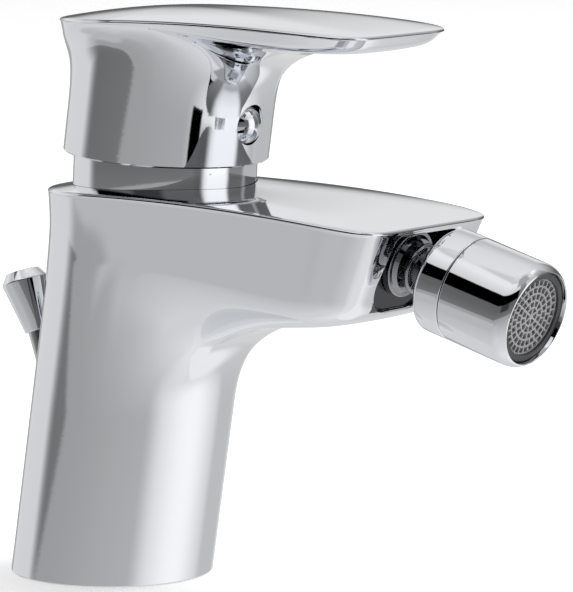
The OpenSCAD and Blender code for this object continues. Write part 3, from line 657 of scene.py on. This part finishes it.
# Finishes by the record's slots. A grained one has two tones, a range of gloss,
# and the scale and strength of its grain.
MOULDED = (0.35, 0.5)
FINISH = {
    "chrome": plated("polished_chrome", (0.823, 0.838, 0.865), (0.02, 0.05)),
    "steel": plated("drawn_steel", (0.62, 0.62, 0.63), (0.14, 0.24)),
    "brass": grained(
        "machined_brass", (0.66, 0.47, 0.20), (0.80, 0.62, 0.32), (0.22, 0.36), 900, 0.10, metallic=1.0),
    "white_plastic": grained("white_moulding", (0.78, 0.78, 0.76), (0.88, 0.88, 0.86), MOULDED, 1500, 0.08),
    "grey_plastic": grained("grey_moulding", (0.30, 0.31, 0.33), (0.40, 0.41, 0.43), MOULDED, 1500, 0.10),
    "red_plastic": grained("red_moulding", (0.48, 0.03, 0.03), (0.62, 0.06, 0.05), MOULDED, 1500, 0.08),
    "ceramic": grained(
        "lapped_ceramic", (0.86, 0.85, 0.81), (0.93, 0.92, 0.89), (0.10, 0.18), 700, 0.02, coat=0.4),
    "rubber": grained(
        "black_rubber", (0.018, 0.018, 0.019), (0.035, 0.035, 0.037), (0.55, 0.75), 1200, 0.15),
}
OWN_FINISH = {
    # The insert is made near-black so that its cells look black: painted shade in the cells.
    "aerator_insert": grained(
        "insert_cell_shade", (0.045, 0.045, 0.046), (0.07, 0.07, 0.072), (0.3, 0.45), 1500, 0.08),
    "aerator_grid": grained("pale_moulding", (0.36, 0.36, 0.37), (0.46, 0.46, 0.47), MOULDED, 1500, 0.08),
}
# A near-black copy of the chrome for the faces inside the ball joint's recess: painted shade in the recess.
RECESS_SHADE_CHROME = plated("recess_painted_shade", (0.07, 0.07, 0.074), (0.03, 0.06))
# A darker copy of the chrome for the ball stud down in the recess: painted shade.
STUD_SHADE_CHROME = plated("stud_painted_shade", (0.30, 0.305, 0.32), (0.03, 0.06))


def finish_nodes():
    """Give every CAD node the finish of its slot in the record, or its own."""
    slot_of = {s["node"]: s["material_slot"] for s in frame["record"]["subparts"]}
    for node, obj in frame["nodes"].items():
        obj.data.materials.clear()
        obj.data.materials.append(OWN_FINISH.get(node, FINISH[slot_of[node]]))


def dress(piece, body, node, finish, look=None):
    """Seat a piece on its body, in place of a node if one is named, with its finish or a look of its own."""
    piece.data.materials.clear()
    piece.data.materials.append(look or FINISH[finish])
    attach(piece, body)
    if node:
        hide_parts(node)


def paint_recess_shade(skin):
    """Paint shade into the ball joint's recess: its inner faces get a near-black chrome of their own, as
    painted shade.
    """
    slack, behind_floor, shade_depth = 0.1, 0.4, 3.6
    mesh = skin.data
    middle = np.empty(3 * len(mesh.polygons))
    mesh.polygons.foreach_get("center", middle)
    down, across, along = to_local(ON_BALL, middle.reshape(-1, 3) / MM).T
    from_floor = along + STUD_LEN
    inside = (down > -RECESS_UP - slack) & (down < RECESS_DOWN + slack)
    inside &= np.abs(across) < RECESS_HALF + slack
    inside &= (from_floor > -behind_floor) & (from_floor < shade_depth)
    mesh.materials.append(RECESS_SHADE_CHROME)
    mesh.polygons.foreach_set("material_index", inside.astype(np.int32))


finish_nodes()
body_skin = body_shell()
dress(body_skin, "body", "mixer_body", "chrome")
# Painted shade: the faces inside the recess get the near-black chrome.
paint_recess_shade(body_skin)
dress(collar_sleeve(), "body", "collar_ring", "chrome")
# The stud wears the darker chrome: painted shade in the recess.
dress(stud_skin(), "body", "ball_stud", "chrome", STUD_SHADE_CHROME)
dress(lever_shell(), "handle", "lever", "chrome")
dress(cover_dome(), "handle", "screw_cover", "chrome")
dress(joint_collar(), "nozzle", "swivel_collar", "chrome")
dress(nozzle_barrel(), "nozzle", "aerator_housing", "chrome")
dress(knob_skin(), "rod", "rod_knob", "chrome")
# The black ring stands in for the shade in the outlet's gap: painted shade.
dress(gap_shade_ring(), "nozzle", None, "rubber")
dress(rod_skin(), "rod", "pull_rod", "steel")


# Stage, light and camera

# The studio's base tones: (height in degrees, tone)
SKY = [(-90, 0.77), (-54, 0.64), (-28, 0.60), (0, 0.64), (18, 0.72), (33, 0.49), (54, 0.68), (90, 0.77)]
# What stands in the studio: the azimuth from and to, with the softness at both; the height from and to,
# with the softness at both; then one tone, or tones by height. What comes later covers what comes before.
ALL_HEIGHTS = (-91, 91, 1, 1)
GREY_WALLS = [
    ((72, 104, 14, 10), ALL_HEIGHTS, [
        (-90, 0.78), (-35, 0.55), (-10, 0.47), (-5, 0.42), (-2, 0.10), (14, 0.12), (40, 0.50), (66, 0.70),
        (90, 0.77)]),
    ((-146, -36, 18, 26), ALL_HEIGHTS, [
        (-90, 0.73), (-54, 0.60), (-22, 0.40), (-12, 0.335), (12, 0.30), (38, 0.60), (58, 0.81), (63, 0.80),
        (67, 0.57), (90, 0.75)]),
    ((-165, -112, 12, 25), (-60, -24, 6, 6), [(-54, 0.63), (-25, 0.47)]),
]
# Wide low down and narrow higher up, with the shades beside it
BRIGHT_WALL = [
    ((22, 26, 60, 46), (-91, -16, 1, 8), [(-90, 0.76), (-46, 0.71), (-28, 0.91), (-20, 0.94)]),
    ((50, 108, 14, 8), (-75, -42, 8, 8), 0.81),
    ((6, 26, 12, 16), (-14, 91, 6, 1), [
        (-14, 1.0), (14, 1.0), (34, 0.80), (42, 0.45), (60, 0.72), (68, 0.52), (90, 0.70)]),
    ((38, 58, 8, 12), (-13, 91, 6, 1), [
        (-13, 0.30), (-4, 0.18), (4, 0.12), (34, 0.24), (52, 0.50), (58, 0.95), (63, 0.90), (68, 0.68),
        (90, 0.75)]),
    ((-22, -8, 8, 8), (-17, 91, 4, 1), [(-17, 0.15), (10, 0.10), (44, 0.25), (70, 0.42), (90, 0.70)]),
]
# The long black one hangs above the long grey one
FLAGS = [
    ((-148, -124, 8, 8), (-26, -16, 3, 3), 0.46),
    ((134, 148, 5, 5), (-24, 10, 5, 5), 0.36),
    ((112, 136, 7, 7), (-9, 11, 3, 3), [(-9, 0.35), (0, 0.10), (4, 0.12), (8, 0.48), (11, 0.62)]),
    ((-146, -18, 18, 6), (-8.6, 18, 1, 1.2), [(-10, 0.175), (-3, 0.145), (6, 0.12), (18, 0.11)]),
    ((-88, -62, 12, 12), (4, 18, 3, 3), 0.04),
    ((-147, -28, 6, 6), (18, 37.5, 1.5, 1.5), 0.0),
    ((-27, -17, 2, 2), (-22.5, -14, 1, 2), 0.0),
    ((132, 150, 6, 6), (30, 45, 4, 4), 0.08),
    ((150, 181, 6, 6), (43, 55, 4, 4), 0.10),
    ((-181, -150, 6, 6), (43, 54, 4, 4), 0.12),
    ((-40, 8, 10, 10), (52, 72, 6, 6), 0.36),
]
STUDIO_LEVEL = 1.18


def feed(tree, socket, value):
    """Set a socket to a number, or link another socket to it."""
    if isinstance(value, (int, float)):
        socket.default_value = value
    else:
        tree.links.new(value, socket)


def math_node(tree, operation, *values):
    """A Math node on sockets or numbers."""
    node = tree.nodes.new("ShaderNodeMath")
    node.operation = operation
    for socket, value in zip(node.inputs, values):
        feed(tree, socket, value)
    return node.outputs[0]


def eased(tree, value, start, end):
    """A mask that eases from 0 at start to 1 at end."""
    node = tree.nodes.new("ShaderNodeMapRange")
    node.interpolation_type = "SMOOTHSTEP"
    node.inputs["From Min"].default_value, node.inputs["From Max"].default_value = start, end
    tree.links.new(value, node.inputs["Value"])
    return node.outputs["Result"]


def band(tree, value, low, high, soft_low, soft_high):
    """A mask that is 1 between low and high and eases to 0 outside, over its own width on each side."""
    above = eased(tree, value, low - soft_low, low)
    below = eased(tree, value, high + soft_high, high)
    return math_node(tree, "MULTIPLY", above, below)


def mixed(tree, mask, below, above):
    """Tone below where the mask is 0, above where it is 1; each a socket or a number."""
    node = tree.nodes.new("ShaderNodeMix")
    for key, value in (("Factor", mask), ("A", below), ("B", above)):
        feed(tree, node.inputs[key], value)
    return node.outputs["Result"]


def tone_by_height(tree, height, stops):
    """Grey tone by height in degrees, straight between the stops."""
    node = tree.nodes.new("ShaderNodeValToRGB")
    points = node.color_ramp.elements
    while len(points) < len(stops):
        points.new(0.5)
    for point, (degrees, tone) in zip(points, stops):
        point.position = (degrees + 90) / 180
        point.color = (tone, tone, tone, 1)
    share = math_node(tree, "DIVIDE", math_node(tree, "ADD", height, 90.0), 180.0)
    tree.links.new(share, node.inputs["Fac"])
    return node.outputs["Color"]


def studio():
    """A studio as the world, by azimuth and height, for the chrome to mirror; the camera sees plain white."""
    world = bpy.data.worlds.new("studio")
    bpy.context.scene.world = world
    world.use_nodes = True
    tree = world.node_tree
    split = tree.nodes.new("ShaderNodeSeparateXYZ")
    tree.links.new(tree.nodes.new("ShaderNodeTexCoord").outputs["Generated"], split.inputs[0])
    x, y, z = split.outputs
    azimuth = math_node(tree, "MULTIPLY", math_node(tree, "ARCTAN2", y, x), 180 / math.pi)
    height = math_node(tree, "MULTIPLY", math_node(tree, "ARCSINE", z), 180 / math.pi)
    tone = tone_by_height(tree, height, SKY)
    for around, upright, shade in GREY_WALLS + BRIGHT_WALL + FLAGS:
        mask = math_node(tree, "MULTIPLY", band(tree, azimuth, *around), band(tree, height, *upright))
        own_tone = shade if isinstance(shade, float) else tone_by_height(tree, height, shade)
        tone = mixed(tree, mask, tone, own_tone)
    is_camera = tree.nodes.new("ShaderNodeLightPath").outputs["Is Camera Ray"]
    background = tree.nodes["Background"]
    background.inputs["Color"].default_value = (1, 1, 1, 1)
    strength = mixed(tree, is_camera, math_node(tree, "MULTIPLY", tone, STUDIO_LEVEL), 1.0)
    tree.links.new(strength, background.inputs["Strength"])


def floor():
    """A pale floor on which the foot stands; mirrors look through it to the studio, as at a cut-out."""
    size, camera_lift = 3000.0, 0.40
    corners = [(-size, -size, 0), (size, -size, 0), (size, size, 0), (-size, size, 0)]
    obj = put_mesh("floor", corners, [(0, 1, 2, 3)])
    mat = bpy.data.materials.new("pale_floor")
    mat.use_nodes = True
    tree = mat.node_tree
    shader = tree.nodes["Principled BSDF"]
    shader.inputs["Base Color"].default_value = (0.92, 0.92, 0.925, 1)
    shader.inputs["Roughness"].default_value = 0.7
    shader.inputs["Emission Color"].default_value = (1, 1, 1, 1)
    path = tree.nodes.new("ShaderNodeLightPath")
    clear = tree.nodes.new("ShaderNodeBsdfTransparent")
    mix = tree.nodes.new("ShaderNodeMixShader")
    lift = math_node(tree, "MULTIPLY", path.outputs["Is Camera Ray"], camera_lift)
    tree.links.new(lift, shader.inputs["Emission Strength"])
    tree.links.new(path.outputs["Is Glossy Ray"], mix.inputs["Fac"])
    tree.links.new(shader.outputs["BSDF"], mix.inputs[1])
    tree.links.new(clear.outputs["BSDF"], mix.inputs[2])
    tree.links.new(mix.outputs["Shader"], tree.nodes["Material Output"].inputs["Surface"])
    obj.data.materials.append(mat)


def aimed(name, data, place, direction):
    """A lamp or camera at a place in metres, looking along a direction."""
    obj = bpy.data.objects.new(name, data)
    obj.location = place
    obj.rotation_euler = direction.to_track_quat("-Z", "Y").to_euler()
    bpy.context.scene.collection.objects.link(obj)
    return obj


def key_light():
    """A square soft light above the spout's far side, which mirrors don't show."""
    place, target = Vector((0.5, 0.5, 1.2)), Vector((0.04, 0, 0.06))
    lamp = bpy.data.lights.new("key", "AREA")
    lamp.size, lamp.energy = 0.9, 13.0
    aimed("key", lamp, place, target - place).visible_glossy = False


def camera():
    """The photograph's camera: 50 degrees round from the spout, 11 degrees up, 1.1 m from the foot."""
    sensor, image_w, focal_px = 36.0, 573, 4618.0
    data = bpy.data.cameras.new("camera")
    data.sensor_fit, data.sensor_width, data.lens = "HORIZONTAL", sensor, sensor * focal_px / image_w
    data.clip_start, data.clip_end = 0.05, 50
    place, direction = (0.6938, -0.8269, 0.2118), Vector((-0.6073, 0.7830, -0.1346))
    bpy.context.scene.camera = aimed("camera", data, place, direction)


floor()
studio()
key_light()
camera()
bpy.context.scene.view_settings.view_transform = "Standard"
